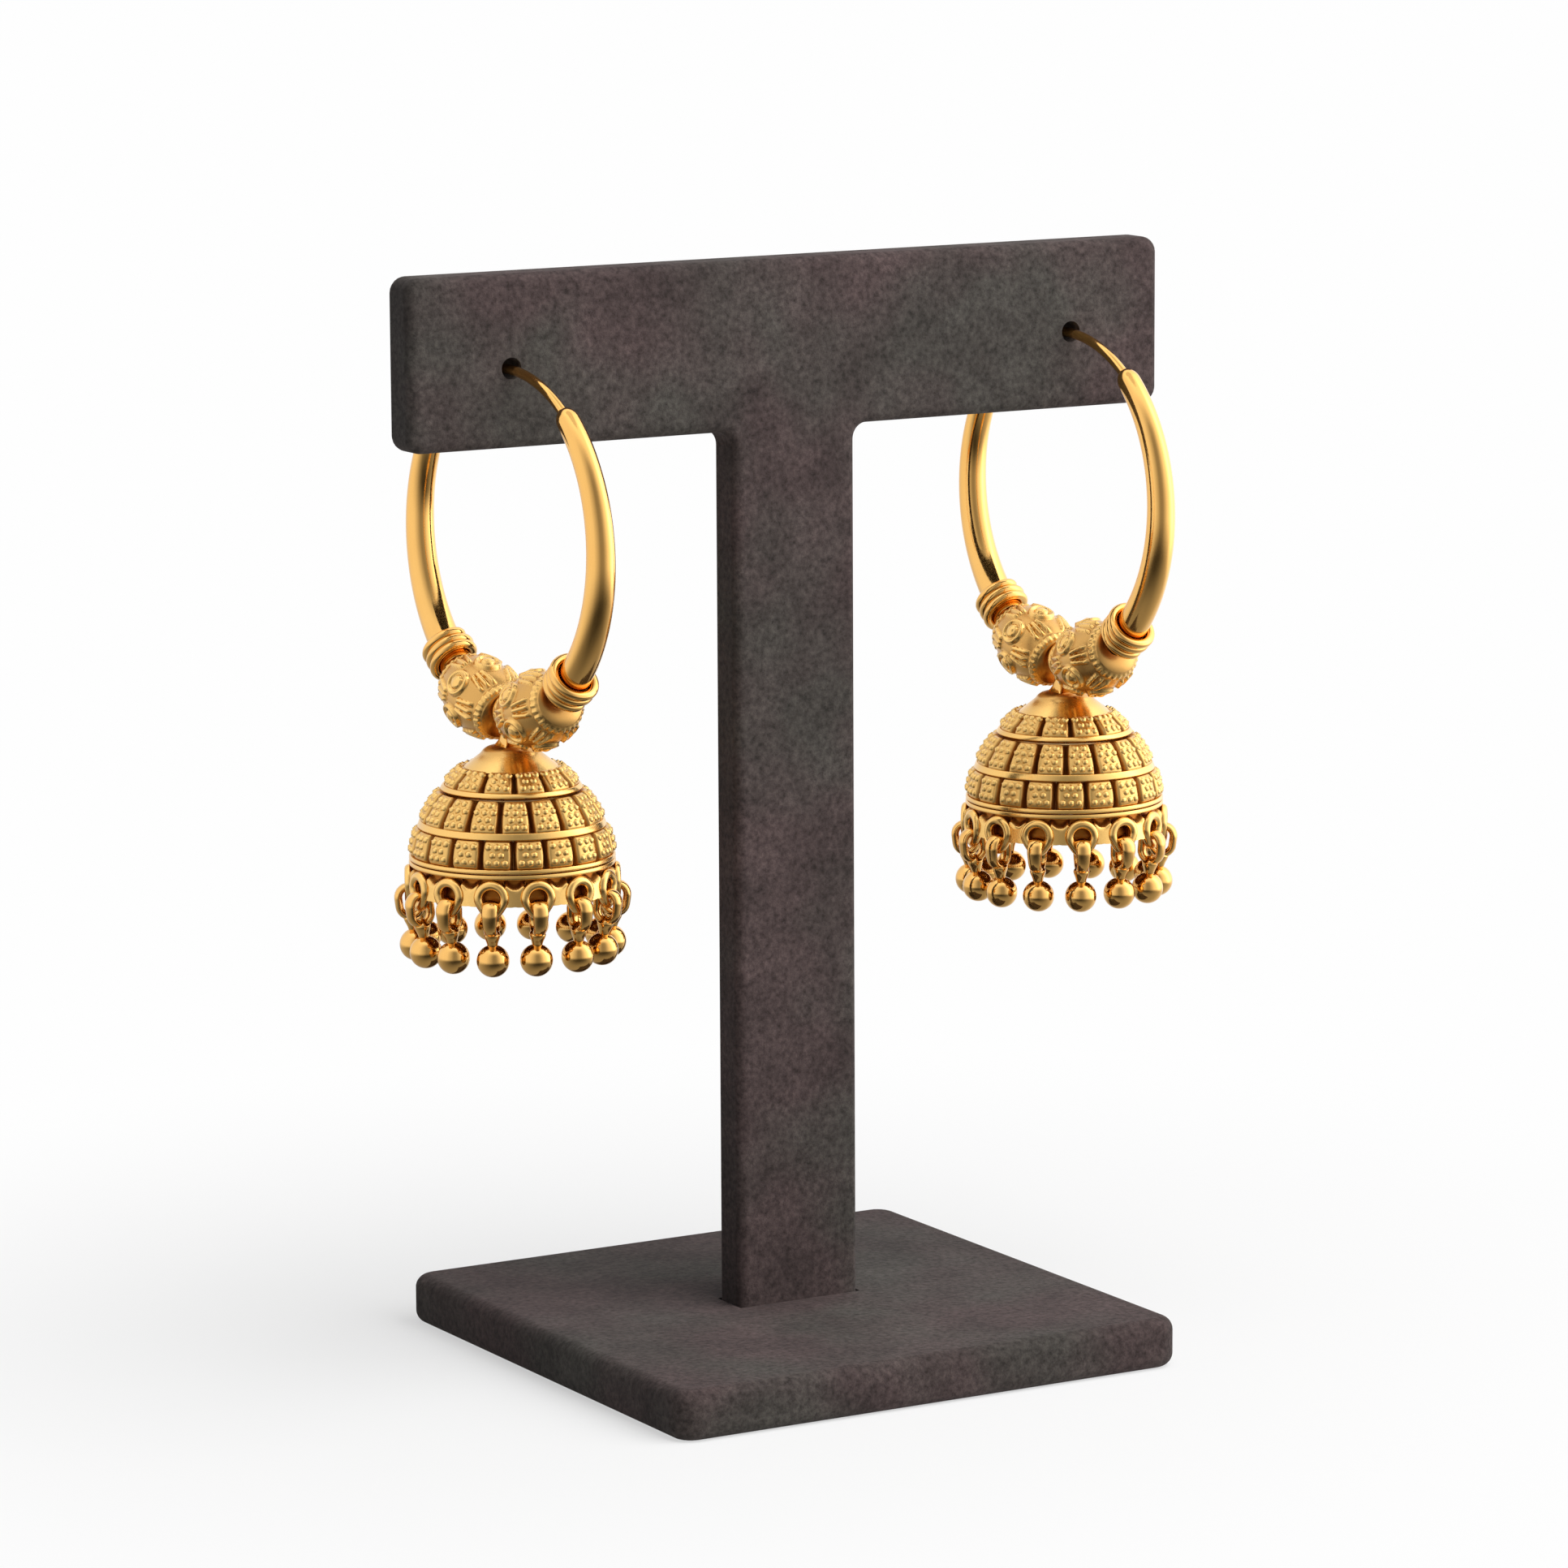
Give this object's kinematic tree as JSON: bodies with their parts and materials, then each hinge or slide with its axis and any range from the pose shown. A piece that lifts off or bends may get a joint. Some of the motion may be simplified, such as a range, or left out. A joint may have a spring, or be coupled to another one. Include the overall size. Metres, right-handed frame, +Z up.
{
  "type": "pair of jhumka hoop earrings on a t-bar display stand",
  "caption": "Pair of gold hoop earrings with bead and bell-shaped jhumka drops, hanging from a suede-covered T-bar stand; each bell swings on its hoop.",
  "frame": {"origin": "on the ground, under the middle of the stand and of its base", "axes": "+Z up; the bar runs along X; the front of the stand faces -Y"},
  "size_m": [0.0772, 0.051, 0.0981],
  "materials": {
    "gold": "polished gold plating over brass, darker in the recesses",
    "suede": "charcoal suede over board"
  },
  "bodies": {
    "stand": {"stand_base": "suede", "stand_tee": "suede", "left_hoop": "gold", "left_ear_wire": "gold", "left_bead_front": "gold", "left_bead_rear": "gold", "left_coil_front": "gold", "left_coil_rear": "gold", "right_hoop": "gold", "right_ear_wire": "gold", "right_bead_front": "gold", "right_bead_rear": "gold", "right_coil_front": "gold", "right_coil_rear": "gold"},
    "left_jhumka": {"left_bell": "gold", "left_drop_01": "gold", "left_drop_02": "gold", "left_drop_03": "gold", "left_drop_04": "gold", "left_drop_05": "gold", "left_drop_06": "gold", "left_drop_07": "gold", "left_drop_08": "gold", "left_drop_09": "gold", "left_drop_10": "gold", "left_drop_11": "gold", "left_drop_12": "gold", "left_drop_13": "gold", "left_drop_14": "gold"},
    "right_jhumka": {"right_bell": "gold", "right_drop_01": "gold", "right_drop_02": "gold", "right_drop_03": "gold", "right_drop_04": "gold", "right_drop_05": "gold", "right_drop_06": "gold", "right_drop_07": "gold", "right_drop_08": "gold", "right_drop_09": "gold", "right_drop_10": "gold", "right_drop_11": "gold", "right_drop_12": "gold", "right_drop_13": "gold", "right_drop_14": "gold"}
  },
  "joints": [
    {"name": "left_bell_swing", "type": "hinge", "parent": "stand", "child": "left_jhumka", "pos_m": [-0.02815, -0.0011, 0.06015], "axis": [-0.0576, 0.9983, 0], "range_deg": [-40, 40]},
    {"name": "right_bell_swing", "type": "hinge", "parent": "stand", "child": "right_jhumka", "pos_m": [0.0286, -0.0011, 0.06015], "axis": [-0.0332, 0.9995, 0], "range_deg": [-40, 40]}
  ]
}
